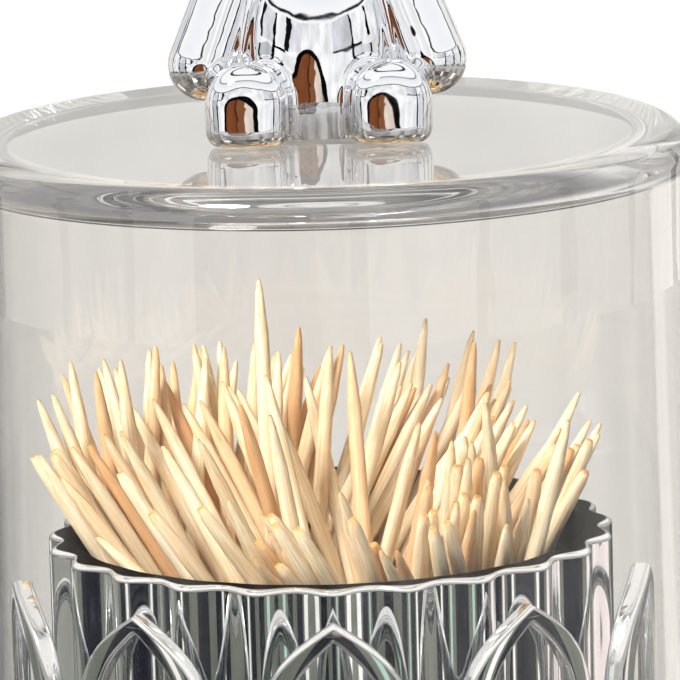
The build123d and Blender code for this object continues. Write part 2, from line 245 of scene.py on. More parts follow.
def roundedProfile(corners, arcSteps):  # corners are (radius, height, rounding); arcs replace rounded ones
    path = []
    for i, (r, z, rounding) in enumerate(corners):
        corner = Vector((r, z))
        if rounding <= 0 or i in (0, len(corners) - 1):
            path.append(corner)
            continue
        before = (Vector(corners[i - 1][:2]) - corner).normalized()
        after = (Vector(corners[i + 1][:2]) - corner).normalized()
        half = before.angle(after) / 2
        centre = corner + (before + after).normalized() * rounding / math.sin(half)
        start = corner + before * rounding / math.tan(half) - centre
        end = corner + after * rounding / math.tan(half) - centre
        turn = start.angle_signed(end)
        for step in range(arcSteps + 1):
            path.append(centre + Matrix.Rotation(-turn * step / arcSteps, 2) @ start)
    return path


longRun = 4  # a run this many times the support distance gets support rings


def withSupport(path, near):  # extra rings close to each corner keep the long walls' normals true
    full = [path[0]]
    for a, b in zip(path, path[1:]):
        run = b - a
        if run.length > longRun * near:
            full += [a + run * (near / run.length), b - run * (near / run.length)]
        full.append(b)
    return full


def turnedMesh(name, corners, shape, segments):  # lathe about Z; points on the axis become poles
    path = roundedProfile(corners, shape["arcSteps"])
    if "support" in shape:
        path = withSupport(path, shape["support"])
    work = bmesh.new()
    rings = []
    for r, z in path:
        if r < mergeDistance:
            rings.append([work.verts.new((0, 0, z))])
            continue
        angles = [2 * math.pi * k / segments for k in range(segments)]
        rings.append([work.verts.new((r * math.cos(t), r * math.sin(t), z)) for t in angles])
    pairs = list(zip(rings, rings[1:]))
    if len(rings[0]) > 1 and len(rings[-1]) > 1:
        pairs.append((rings[-1], rings[0]))
    for low, high in pairs:
        for k in range(segments):
            n = (k + 1) % segments
            face = [low[k % len(low)], low[n % len(low)], high[n % len(high)], high[k % len(high)]]
            unique = list(dict.fromkeys(face))
            if len(unique) > 2:
                work.faces.new(unique)
    bmesh.ops.recalc_face_normals(work, faces=work.faces)
    return meshFrom(work, name)


def turnedPiece(name, corners, shape, material):
    mesh = turnedMesh(name, corners, shape, shape["segments"])
    smoothFaces(mesh, shape["sharpAngle"])
    return newPiece(name, mesh, material)


# Base: plated tray with a ledge for the cover and a centring step
baseShape = {"ledge": 5.0 * mm, "recessDepth": 1.5 * mm, "cupGap": 0.3 * mm, "coverGap": 0.4 * mm,
             "coverFootRadius": 39.6 * mm, "edge": 1.2 * mm, "lead": 0.8 * mm, "soft": 0.25 * mm,
             "segments": 256, "arcSteps": 8, "support": 0.4 * mm, "sharpAngle": 50}


def makeBase():
    low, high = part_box("base_tray")
    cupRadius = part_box("fluted_cup")[1].x + baseShape["cupGap"]
    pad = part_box("foot_pad")[1]
    step = baseShape["coverFootRadius"] - baseShape["coverGap"]
    soft, ledge = baseShape["soft"], baseShape["ledge"]
    recess = high.z - baseShape["recessDepth"]
    corners = [(0, recess, 0), (cupRadius, recess, soft), (cupRadius, high.z, soft),
               (step, high.z, baseShape["lead"]), (step, ledge, soft), (high.x, ledge, baseShape["edge"]),
               (high.x, low.z, soft), (pad.x, low.z, soft), (pad.x, pad.z, 0), (0, pad.z, 0)]
    seat(turnedPiece("baseTray", corners, baseShape, chrome), "holder", "base_tray")


# Foot pad: die-cut disc with softened edges
padShape = {"topEdge": 0.2 * mm, "bottomEdge": 0.4 * mm, "segments": 192, "arcSteps": 8, "support": 0.4 * mm,
            "sharpAngle": 50}


def makePad():
    low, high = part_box("foot_pad")
    corners = [(0, high.z, 0), (high.x, high.z, padShape["topEdge"]), (high.x, low.z, padShape["bottomEdge"]),
               (0, low.z, 0)]
    seat(turnedPiece("footPad", corners, padShape, foam), "holder", "foot_pad")


def newTree(name, sizes, counts=()):  # node tree with its named inputs
    tree = bpy.data.node_groups.new(name, "GeometryNodeTree")
    tree.is_modifier = True
    inputs = [("Geometry", "Geometry"), *((size, "Float") for size in sizes),
              *((count, "Int") for count in counts), ("Material", "Material")]
    for label, kind in inputs:
        tree.interface.new_socket(label, in_out="INPUT", socket_type="NodeSocket" + kind)
    tree.interface.new_socket("Geometry", in_out="OUTPUT", socket_type="NodeSocketGeometry")
    return tree, addNode(tree, "NodeGroupInput").outputs


def endTree(tree, given, shape):  # plain geometry with its material
    real = addNode(tree, "GeometryNodeRealizeInstances", links={"Geometry": shape})
    painted = addNode(tree, "GeometryNodeSetMaterial",
                      links={"Geometry": real, "Material": given["Material"]})
    addNode(tree, "NodeGroupOutput", links={"Geometry": painted})
    return tree


def bakeTree(name, mesh, tree, inputs):  # run a node tree on a mesh and keep the plain result
    holder = newPiece(name + "Source", mesh)
    modifier = holder.modifiers.new(tree.name, "NODES")
    modifier.node_group = tree
    for item in tree.interface.items_tree:
        if item.in_out == "INPUT" and item.name in inputs:
            modifier[item.identifier] = inputs[item.name]
    done = plainMesh(holder)
    done.name = name
    return newPiece(name, done, inputs["Material"])


# Cup: turned blank whose outer wall is fluted by a node tree
cupShape = {"flutes": 24, "fluteDepth": 1.6 * mm, "innerRadius": 29.8 * mm, "floor": 2.0 * mm,
            "rimRound": 0.5 * mm, "lipRound": 0.7 * mm, "floorRound": 1.5 * mm, "footRound": 0.5 * mm,
            "pointsPerFlute": 24, "arcSteps": 10, "support": 0.4 * mm, "sharpAngle": 50}


def fluteTree():
    tree, given = newTree("fluteWall", ("Flutes", "Depth", "Inner Radius", "Crest Radius"))
    where = addNode(tree, "GeometryNodeInputPosition")
    parts = addNode(tree, "SeparateXYZ", links={0: where}).outputs
    angle = addNode(tree, "Math", {"operation": "ARCTAN2"}, links={0: parts["Y"], 1: parts["X"]})
    turns = addNode(tree, "Math", {"operation": "MULTIPLY"}, links={0: angle, 1: given["Flutes"]})
    wave = addNode(tree, "Math", {"operation": "COSINE"}, links={0: turns})
    dip = addNode(tree, "MapRange", values={"From Min": 1.0, "From Max": -1.0}, links={"Value": wave})
    flat = addNode(tree, "CombineXYZ", links={"X": parts["X"], "Y": parts["Y"]})
    radius = addNode(tree, "VectorMath", {"operation": "LENGTH"}, links={0: flat}).outputs["Value"]
    share = addNode(tree, "MapRange", links={
        "Value": radius, "From Min": given["Inner Radius"], "From Max": given["Crest Radius"]})
    cut = addNode(tree, "Math", {"operation": "MULTIPLY"}, links={0: dip, 1: share})
    deep = addNode(tree, "Math", {"operation": "MULTIPLY"}, links={0: cut, 1: given["Depth"]})
    back = addNode(tree, "Math", {"operation": "MULTIPLY"}, {1: -1.0}, {0: deep})
    outward = addNode(tree, "VectorMath", {"operation": "NORMALIZE"}, links={0: flat})
    offset = addNode(tree, "VectorMath", {"operation": "SCALE"}, links={0: outward, "Scale": back})
    marked = addNode(tree, "GeometryNodeStoreNamedAttribute", {"data_type": "FLOAT", "domain": "POINT"},
                     {"Name": "wallShare"}, {"Geometry": given["Geometry"], "Value": share})
    moved = addNode(tree, "GeometryNodeSetPosition", links={"Geometry": marked, "Offset": offset})
    return endTree(tree, given, moved)


def makeCup():
    low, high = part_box("fluted_cup")
    crest, inner = high.x, cupShape["innerRadius"]
    floor = low.z + cupShape["floor"]
    corners = [(0, floor, 0), (inner, floor, cupShape["floorRound"]), (inner, high.z, cupShape["rimRound"]),
               (crest, high.z, cupShape["lipRound"]), (crest, low.z, cupShape["footRound"]), (0, low.z, 0)]
    blank = turnedMesh("flutedCup", corners, cupShape, cupShape["flutes"] * cupShape["pointsPerFlute"])
    piece = bakeTree("flutedCup", blank, fluteTree(), {
        "Flutes": float(cupShape["flutes"]), "Depth": cupShape["fluteDepth"], "Inner Radius": inner,
        "Crest Radius": crest, "Material": cupChrome})
    smoothFaces(piece.data, cupShape["sharpAngle"])
    seat(piece, "holder", "fluted_cup")


# Gallery: five pierced leaves round the front of the cup
petalShape = {"angles": (-70, -35, 0, 35, 70), "midRadius": 36.9 * mm, "thickness": 2.0 * mm,
              "sideStroke": 3.2 * mm, "topStroke": 2.2 * mm, "stem": 10.2 * mm, "footWidth": 12.0 * mm,
              "footHeight": 3.0 * mm, "footSink": 1.0 * mm, "bevel": 0.55 * mm, "bevelSteps": 3, "steps": 14,
              "widest": 0.62, "flank": (0.62, 0.42), "shoulder": (0.66, 0.68), "sharpAngle": 35}


def leafLoop(halfWidth, bottom, top, widest):  # closed outline through the leaf's few named points
    flankOut, flankUp = petalShape["flank"]
    shoulderOut, shoulderUp = petalShape["shoulder"]
    right = [(0, bottom), (flankOut * halfWidth, bottom + flankUp * (widest - bottom)), (halfWidth, widest),
             (shoulderOut * halfWidth, widest + shoulderUp * (top - widest)), (0, top)]
    side = smoothThrough([Vector(p) for p in right], petalShape["steps"])
    return side + [Vector((-p.x, p.y)) for p in reversed(side[1:-1])]


def smoothThrough(points, steps):  # natural cubic spline through the points, by chord length
    xy = np.array(points)
    t = np.concatenate([[0], np.cumsum(np.linalg.norm(np.diff(xy, axis=0), axis=1))])
    h = np.diff(t)
    n = len(t)
    system = np.zeros((n, n))
    right = np.zeros((n, 2))
    system[0, 0] = system[-1, -1] = 1
    for i in range(1, n - 1):
        system[i, i - 1:i + 2] = h[i - 1], 2 * (h[i - 1] + h[i]), h[i]
        right[i] = 6 * ((xy[i + 1] - xy[i]) / h[i] - (xy[i] - xy[i - 1]) / h[i - 1])
    bend = np.linalg.solve(system, right)
    out = []
    for i in range(n - 1):
        for u in np.arange(steps) / steps * h[i]:
            v = h[i] - u
            curved = (bend[i] * v ** 3 + bend[i + 1] * u ** 3) / (6 * h[i])
            out.append(curved + (xy[i] / h[i] - bend[i] * h[i] / 6) * v
                       + (xy[i + 1] / h[i] - bend[i + 1] * h[i] / 6) * u)
    return [Vector(p) for p in out] + [Vector(xy[-1])]


def bevelledPlate(name, loops):  # flat pierced plate with rounded edges, facing +Z
    bevel = petalShape["bevel"]
    curve = bpy.data.curves.new(name, "CURVE")
    curve.dimensions = "2D"
    curve.fill_mode = "BOTH"
    curve.extrude = petalShape["thickness"] / 2 - bevel
    curve.bevel_depth = bevel
    curve.bevel_resolution = petalShape["bevelSteps"]
    curve.offset = -bevel
    for loop in loops:
        spline = curve.splines.new("POLY")
        spline.points.add(len(loop) - 1)
        for point, place in zip(spline.points, loop):
            point.co = (place[0], place[1], 0, 1)
        spline.use_cyclic_u = True
    return plainMesh(newPiece(name + "Source", curve))


def makePetals():
    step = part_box("base_tray")[1].z
    half, _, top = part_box("gallery_petal_3")[1]
    bottom = step + petalShape["footSink"]
    widest = bottom + petalShape["widest"] * (top - bottom)
    outside = leafLoop(half, bottom, top, widest)
    inside = leafLoop(half - petalShape["sideStroke"], bottom + petalShape["stem"],
                      top - petalShape["topStroke"], widest)
    foot, lid = petalShape["footWidth"] / 2, step + petalShape["footHeight"]
    marks = [foot * share for share in (-1, -0.5, 0, 0.5, 1)]
    bar = [Vector((x, step)) for x in marks] + [Vector((x, lid)) for x in reversed(marks)]
    for number, angle in enumerate(petalShape["angles"], 1):
        name = "galleryPetal%d" % number
        work = bmesh.new()
        for loops in ([outside, inside], [bar]):
            plate = bevelledPlate(name, loops)
            work.from_mesh(plate)
            bpy.data.meshes.remove(plate)
        bmesh.ops.remove_doubles(work, verts=work.verts, dist=mergeDistance)
        turn = Matrix.Rotation(math.radians(angle), 3, "Z")
        for vert in work.verts:
            across, up, out = vert.co
            radius = petalShape["midRadius"] + out
            vert.co = turn @ Vector((across, -math.sqrt(radius ** 2 - across ** 2), up))
        bmesh.ops.recalc_face_normals(work, faces=work.faces)
        mesh = meshFrom(work, name)
        smoothFaces(mesh, petalShape["sharpAngle"])
        seat(newPiece(name, mesh, chrome), "holder", "gallery_petal_%d" % number)


# Picks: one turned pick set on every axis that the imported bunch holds; part of the low front row is blunt
pickShape = {"rings": 11, "sides": 10, "taper": 9.5 * mm, "bow": 1.6, "pointRadius": 0.3 * mm,
             "bluntRadius": 0.66 * mm, "nose": 0.2 * mm, "noseShare": 0.4, "bluntBelow": 65 * mm,
             "bluntShare": 0.55, "seed": 5, "sharpAngle": 60}


def pickAxes():  # foot, direction, length and radius of each pick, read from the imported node
    work = bmesh.new()
    work.from_mesh(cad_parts["toothpicks"].data)
    bmesh.ops.remove_doubles(work, verts=work.verts, dist=mergeDistance)
    seen = set()
    axes = []
    for first in work.verts:
        if first in seen:
            continue
        seen.add(first)
        island = [first]
        for vert in island:
            others = [edge.other_vert(vert) for edge in vert.link_edges]
            fresh = [other for other in others if other not in seen]
            seen.update(fresh)
            island += list(dict.fromkeys(fresh))
        places = np.array([vert.co for vert in island])
        spread = places - places.mean(0)
        lead = np.linalg.svd(spread)[2][0]
        lead = lead if lead[2] > 0 else -lead
        along = spread @ lead
        foot = places.mean(0) + lead * along.min()
        girth = np.linalg.norm(spread - np.outer(along, lead), axis=1)
        axes.append((tuple(foot), tuple(lead), along.max() - along.min(), girth.max()))
    work.free()
    return sorted(axes)


def pickTree():
    tree, given = newTree("pickBunch", (
        "Length", "Radius", "Taper", "Bow", "Nose", "Nose Share", "Point Radius", "Blunt Radius"),
        ("Rings", "Sides"))
    top = addNode(tree, "CombineXYZ", links={"Z": given["Length"]})
    line = addNode(tree, "GeometryNodeCurvePrimitiveLine", links={"End": top})
    even = addNode(tree, "GeometryNodeResampleCurve", links={"Curve": line, "Count": given["Rings"]})
    along = addNode(tree, "GeometryNodeSplineParameter").outputs["Factor"]
    for _ in range(2):  # twice eased, so that rings crowd together near both ends
        swing = addNode(tree, "Math", {"operation": "MULTIPLY"}, {1: math.pi}, {0: along})
        wave = addNode(tree, "Math", {"operation": "COSINE"}, links={0: swing})
        along = addNode(tree, "MapRange", values={"From Min": 1.0, "From Max": -1.0}, links={"Value": wave})
    height = addNode(tree, "Math", {"operation": "MULTIPLY"}, links={0: along, 1: given["Length"]})
    place = addNode(tree, "CombineXYZ", links={"Z": height})
    rings = addNode(tree, "GeometryNodeSetPosition", links={"Geometry": even, "Position": place})
    here = addNode(tree, "GeometryNodeInputPosition")
    level = addNode(tree, "SeparateXYZ", links={0: here}).outputs["Z"]
    half = addNode(tree, "Math", {"operation": "MULTIPLY"}, {1: 0.5}, {0: given["Length"]})
    near = addNode(tree, "Math", {"operation": "PINGPONG"}, links={0: level, 1: half})  # from the nearer end
    nose = addNode(tree, "MapRange", links={
        "Value": near, "From Max": given["Nose"], "To Min": given["Nose Share"]})
    ending, narrowing = [addNode(tree, "MapRange", values={"To Min": 1.0, "To Max": 0.0}, links={
        "Value": near, "From Max": given[reach]}) for reach in ("Nose", "Taper")]
    bow = addNode(tree, "Math", {"operation": "POWER"}, links={0: narrowing, 1: given["Bow"]})
    section = addNode(tree, "GeometryNodeCurvePrimitiveCircle", values={"Radius": 1.0},
                      links={"Resolution": given["Sides"]})
    kinds = addNode(tree, "GeometryNodeJoinGeometry")
    for name in ("Blunt Radius", "Point Radius"):  # the kind joined last has index 0
        taper = addNode(tree, "MapRange", links={
            "Value": bow, "To Min": given["Radius"], "To Max": given[name]})
        girth = addNode(tree, "Math", {"operation": "MULTIPLY"}, links={0: taper, 1: nose})
        stick = addNode(tree, "GeometryNodeCurveToMesh", values={"Fill Caps": True}, links={
            "Curve": rings, "Profile Curve": section, "Scale": girth})
        grain = addNode(tree, "GeometryNodeStoreNamedAttribute",
                        {"data_type": "FLOAT_VECTOR", "domain": "POINT"}, {"Name": "grainPlace"},
                        {"Geometry": stick, "Value": here})
        cut = addNode(tree, "GeometryNodeStoreNamedAttribute", {"data_type": "FLOAT", "domain": "POINT"},
                      {"Name": "cutEnd"}, {"Geometry": grain, "Value": ending})
        single = addNode(tree, "GeometryNodeGeometryToInstance", links={"Geometry": cut})
        join(tree, kinds, {0: single})
    lean = addNode(tree, "GeometryNodeInputNamedAttribute", {"data_type": "FLOAT_VECTOR"},
                   {"Name": "pickAxis"})
    turn = addNode(tree, "FunctionNodeAlignRotationToVector", {"axis": "Z"}, links={"Vector": lean})
    kind = addNode(tree, "GeometryNodeInputNamedAttribute", {"data_type": "INT"}, {"Name": "pickEnd"})
    many = addNode(tree, "GeometryNodeInstanceOnPoints", values={"Pick Instance": True}, links={
        "Points": given["Geometry"], "Instance": kinds, "Instance Index": kind, "Rotation": turn})
    return endTree(tree, given, many)


def makePicks():
    axes = pickAxes()
    points = bpy.data.meshes.new("pickFeet")
    points.from_pydata([foot for foot, *_ in axes], [], [])
    chance = np.random.default_rng(pickShape["seed"])
    tones = chance.random(len(axes))
    length, radius = axes[0][2:]
    tips = np.array([np.add(foot, np.multiply(lead, length)) for foot, lead, *_ in axes])
    low = (tips[:, 2] < pickShape["bluntBelow"]) & (tips[:, 1] < 0)
    blunt = low & (chance.random(len(axes)) < pickShape["bluntShare"])
    for name, kind, field, values in (
            ("pickAxis", "FLOAT_VECTOR", "vector", [c for _, lead, *_ in axes for c in lead]),
            ("pickTone", "FLOAT", "value", tones), ("pickEnd", "INT", "value", np.where(blunt, 1, 0))):
        points.attributes.new(name, kind, "POINT").data.foreach_set(field, values)
    piece = bakeTree("pickBunch", points, pickTree(), {
        "Length": length, "Radius": radius, "Taper": pickShape["taper"], "Bow": pickShape["bow"],
        "Nose": pickShape["nose"], "Nose Share": pickShape["noseShare"],
        "Point Radius": pickShape["pointRadius"], "Blunt Radius": pickShape["bluntRadius"],
        "Rings": pickShape["rings"], "Sides": pickShape["sides"], "Material": bamboo})
    smoothFaces(piece.data, pickShape["sharpAngle"])
    seat(piece, "holder", "toothpicks")
    print("picks", len(axes), "of which blunt", int(blunt.sum()))


# Cover: thick bell, rounded at its shoulder; a thin gap of air keeps its clear foot off the plated ledge
coverShape = {"top": 3.5 * mm, "innerTopRadius": 38.2 * mm, "innerFootRadius": 39.6 * mm,
              "shoulder": 3.0 * mm, "innerShoulder": 2.0 * mm, "foot": 0.5 * mm, "stepHeight": 3.0 * mm,
              "seatGap": 0.04 * mm, "segments": 320, "arcSteps": 12, "support": 0.4 * mm, "sharpAngle": 60}


def makeCover():
    low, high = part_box("cover")
    outer, under = high.x, high.z - coverShape["top"]
    foot, bottom = coverShape["foot"], low.z + coverShape["seatGap"]
    inner, step = coverShape["innerFootRadius"], low.z + coverShape["stepHeight"]
    corners = [(0, high.z, 0), (outer, high.z, coverShape["shoulder"]), (outer, bottom, foot),
               (inner, bottom, foot), (inner, step, 0),
               (coverShape["innerTopRadius"], under, coverShape["innerShoulder"]), (0, under, 0)]
    piece = turnedPiece("clearCover", corners, coverShape, acrylic)
    piece.visible_shadow = False
    seat(piece, "cover", "cover")


# Bear knob: balls, limbs and pebbles blended by formula, millimetres from its flat underside
bearShape = {
    "seamY": -1.0, "belly": ((0, 0, 4.0), (10.4, 10.4, 21.0)), "head": ((0, -1.0, 32.5), 9.4),
    "muzzle": ((0, -8.5, 30.3), 4.2), "nose": ((0, -12.5, 31.7), 1.4), "eye": ((3.4, -8.9, 35.4), 1.1),
    "ear": ((7.2, -1.0, 40.1), 3.7, 3.4), "earDish": ((7.4, -4.9, 40.3), 3.6), "tail": ((0, 9.5, 4.2), 2.6),
    "arm": ((8.6, -1.0, 20.0), (13.1, -3.4, 8.1), 3.8, 4.2),
    "foot": ((8.2, -11.1, -4.0), (8.2, -11.1, 4.6), 4.8, 4.8),
    "sole": ((8.2, 44.9, -1.7), (44.5, 60.0, 60.0)), "soleEdge": 1.4, "footSink": 0.3, "footRound": 2.0,
    "footBlend": 1.6, "blend": 0.9, "fineBlend": 0.35, "sharpAngle": 50}
# its mesh: balls along each limb are remeshed, then the points are evened out and pulled onto the skin
bearMesh = {"limbBalls": 9, "ballDetail": 3, "voxel": 0.36, "pulls": 6, "evening": 0.5, "nudges": 3,
            "probe": 0.02, "leastSlope": 0.2, "leastRise": 1e-6, "cutTolerance": 1e-5}


def softUnion(a, b, width):
    near = np.maximum(width - np.abs(a - b), 0) / width
    return np.minimum(a, b) - near ** 2 * width / 4


def softCut(a, b, width):
    return -softUnion(-a, -b, width)


def ball(p, centre, radius):
    return np.linalg.norm(p - centre, axis=1) - radius


def egg(p, centre, radii):
    scaled = np.linalg.norm((p - centre) / radii, axis=1)
    slope = np.linalg.norm((p - centre) / np.square(radii), axis=1)
    return scaled * (scaled - 1) / np.maximum(slope, bearMesh["leastRise"])


def limb(p, start, end, startRadius, endRadius):
    start, run = np.array(start), np.subtract(end, start)
    share = np.clip((p - start) @ run / (run @ run), 0, 1)
    radius = startRadius + (endRadius - startRadius) * share
    return np.linalg.norm(p - start - share[:, None] * run, axis=1) - radius


def pebble(p, centre, radius, thickness):
    edge = thickness / 2
    away = p - centre
    outward = np.maximum(np.hypot(away[:, 0], away[:, 2]) - (radius - edge), 0)
    return np.hypot(outward, away[:, 1]) - edge


def bearField(p):  # signed distance to the bear's skin; the figure is the same left and right
    s, blend, fine = bearShape, bearShape["blend"], bearShape["fineBlend"]
    half = np.column_stack([np.abs(p[:, 0]), p[:, 1:]])
    skin = softUnion(egg(half, *s["belly"]), ball(half, *s["head"]), 2 * blend)
    skin = softUnion(skin, ball(half, *s["muzzle"]), blend)
    ear = np.maximum(pebble(half, *s["ear"]), -ball(half, *s["earDish"]))
    skin = softUnion(skin, ear, blend)
    skin = softUnion(skin, limb(half, *s["arm"]), blend)
    foot = softCut(limb(half, *s["foot"]), egg(half, *s["sole"]), s["soleEdge"])
    foot = softCut(foot, -half[:, 2] - s["footSink"], s["footRound"])
    skin = softUnion(skin, foot, s["footBlend"])
    skin = softUnion(skin, ball(half, *s["tail"]), blend)
    skin = softUnion(skin, ball(half, *s["nose"]), fine)
    return softUnion(skin, ball(half, *s["eye"]), fine)


def bearBlank():  # closed mesh near the skin, from overlapping balls
    s = bearShape
    work = bmesh.new()

    def lump(centre, size, side=1):
        place = Matrix.Translation((side * centre[0], centre[1], centre[2])) @ Matrix.Diagonal((*size, 1))
        bmesh.ops.create_icosphere(work, subdivisions=bearMesh["ballDetail"], radius=1, matrix=place)

    lump(*s["belly"])
    for part in ("head", "muzzle", "nose", "tail"):
        lump(s[part][0], [s[part][1]] * 3)
    for side in (-1, 1):
        centre, radius, thickness = s["ear"]
        lump(centre, (radius, thickness / 2, radius), side)
        lump(s["eye"][0], [s["eye"][1]] * 3, side)
        for part in ("arm", "foot"):
            start, end, a, b = s[part]
            for share in np.linspace(0, 1, bearMesh["limbBalls"]):
                place = np.array(start) * (1 - share) + np.array(end) * share
                lump(place, [a * (1 - share) + b * share] * 3, side)
    holder = newPiece("bearBlank", meshFrom(work, "bearBlank"))
    skin = holder.modifiers.new("skin", "REMESH")
    skin.mode = "VOXEL"
    skin.voxel_size = bearMesh["voxel"]
    return plainMesh(holder)


def pullOntoSkin(mesh):  # even the points out, then move each one onto the formula's surface
    count = len(mesh.vertices)
    p = np.empty(count * 3)
    mesh.vertices.foreach_get("co", p)
    p = p.reshape(-1, 3)
    edges = np.empty(len(mesh.edges) * 2, int)
    mesh.edges.foreach_get("vertices", edges)
    a, b = edges.reshape(-1, 2).T
    links = np.bincount(np.concatenate([a, b]), minlength=count)[:, None]
    probe = bearMesh["probe"]
    for _ in range(bearMesh["pulls"]):
        total = np.zeros_like(p)
        np.add.at(total, a, p[b])
        np.add.at(total, b, p[a])
        p += bearMesh["evening"] * (total / links - p)
        for _ in range(bearMesh["nudges"]):
            value = bearField(p)
            slope = np.stack([(bearField(p + step) - bearField(p - step)) / (2 * probe)
                              for step in np.eye(3) * probe], 1)
            steepness = np.maximum((slope ** 2).sum(1), bearMesh["leastSlope"])
            p -= value[:, None] * slope / steepness[:, None]
    mesh.vertices.foreach_set("co", p.ravel())
    mesh.update()


def makeBear():
    skin = bearBlank()
    pullOntoSkin(skin)
    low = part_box("bear_front_shell")[0].z
    onCover = Matrix.Translation((0, 0, low)) @ Matrix.Scale(mm, 4)
    halves = (("bearFront", "bear_front_shell", True), ("bearRear", "bear_rear_shell", False))
    for name, node, isFront in halves:
        work = bmesh.new()
        work.from_mesh(skin)
        cuts = [((0, 0, 0), (0, 0, 1), False), ((0, bearShape["seamY"], 0), (0, 1, 0), isFront)]
        for place, normal, dropAbove in cuts:
            made = bmesh.ops.bisect_plane(
                work, geom=work.verts[:] + work.edges[:] + work.faces[:], dist=bearMesh["cutTolerance"],
                plane_co=place, plane_no=normal, clear_outer=dropAbove, clear_inner=not dropAbove)
            rimEdges = [e for e in made["geom_cut"] if isinstance(e, bmesh.types.BMEdge)]
            bmesh.ops.holes_fill(work, edges=rimEdges, sides=0)
        bmesh.ops.recalc_face_normals(work, faces=work.faces)
        bmesh.ops.transform(work, matrix=onCover, verts=work.verts)
        mesh = meshFrom(work, name)
        smoothFaces(mesh, bearShape["sharpAngle"])
        seat(newPiece(name, mesh, castChrome), "cover", node)
    bpy.data.meshes.remove(skin)


# Glue disc: a thin film of air above and below keeps the clear faces apart
glueShape = {"edge": 0.1 * mm, "film": 0.02 * mm, "segments": 96, "arcSteps": 4, "sharpAngle": 50}


def makeGlueDisc():
    low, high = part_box("bear_adhesive_disc")
    edge, top, bottom = glueShape["edge"], high.z - glueShape["film"], low.z + glueShape["film"]
    corners = [(0, top, 0), (high.x, top, edge), (high.x, bottom, edge), (0, bottom, 0)]
    seat(turnedPiece("bearGlueDisc", corners, glueShape, gel), "cover", "bear_adhesive_disc")


makeBase()
makePad()
makeCup()
makePetals()
print("holder ready")
makePicks()
makeCover()
makeBear()
makeGlueDisc()
print("cover and bear ready")


# Stage: white paper, one soft sun, and a dim room that only reflections see
stageLook = {"floor": "#FBFBFA", "floorSize": 8.0, "floorRoughness": 0.9, "rightFrom": (48 * mm, 60 * mm),
             "rayScale": 5.0, "rayRange": (0.42, 0.56), "backdrop": 1.0, "edgeGlow": 1.0, "roomGlow": 1.12,
             "cupRoomGlow": 1.7, "worldStrength": 0.12, "sunStrength": 4.45, "sunAngle": 14,
             "sunFrom": (-0.6, -0.85, 0.95), "bounces": 96, "clearBounces": 64}
# the paper and its dark rays, as mirrors outside and inside the cover, clear edges and stray light see them
mirroredPaper = {"outside": "#A19E99", "outsideRay": "#3C3D41", "inside": "#8F8C87", "insideRay": "#2B2C30",
                 "edge": "#959493", "edgeRay": "#58595B", "edgeRight": "#D9D7D3", "bounce": "#8A847C"}
white, black, grey, navy, pale, dusk = "#FFFFFF", "#0C0C0F", "#6F746C", "#0B0D1E", "#F5F3EF", "#17171B"
# colours of the room from left to right, as the acrylic's thick edges see them
edgeBands = ((0.0, "#BBB3A6"), (0.3, "#999A9C"), (0.62, "#999A9C"), (0.8, "#F3F2F0"), (1.0, white))
# colours of the room by height, from the horizon to overhead, as the bear's chrome sees them
roomBands = ((0.0, "#F4F4F2"), (0.352, white), (0.362, "#17181B"), (0.376, "#17181B"), (0.386, white),
             (0.60, "#EDEFF2"), (0.63, "#6A6D73"), (0.67, white), (0.86, white), (0.88, "#2A2C30"),
             (0.905, "#2A2C30"), (0.92, white), (1.0, white))
# the same as the cup's chrome sees them, under the cover
cupRoomBands = ((0.0, "#B4B5B6"), (0.28, "#B4B5B6"), (0.34, white), (0.80, white), (0.86, "#5A5D63"),
                (0.92, white), (1.0, white))
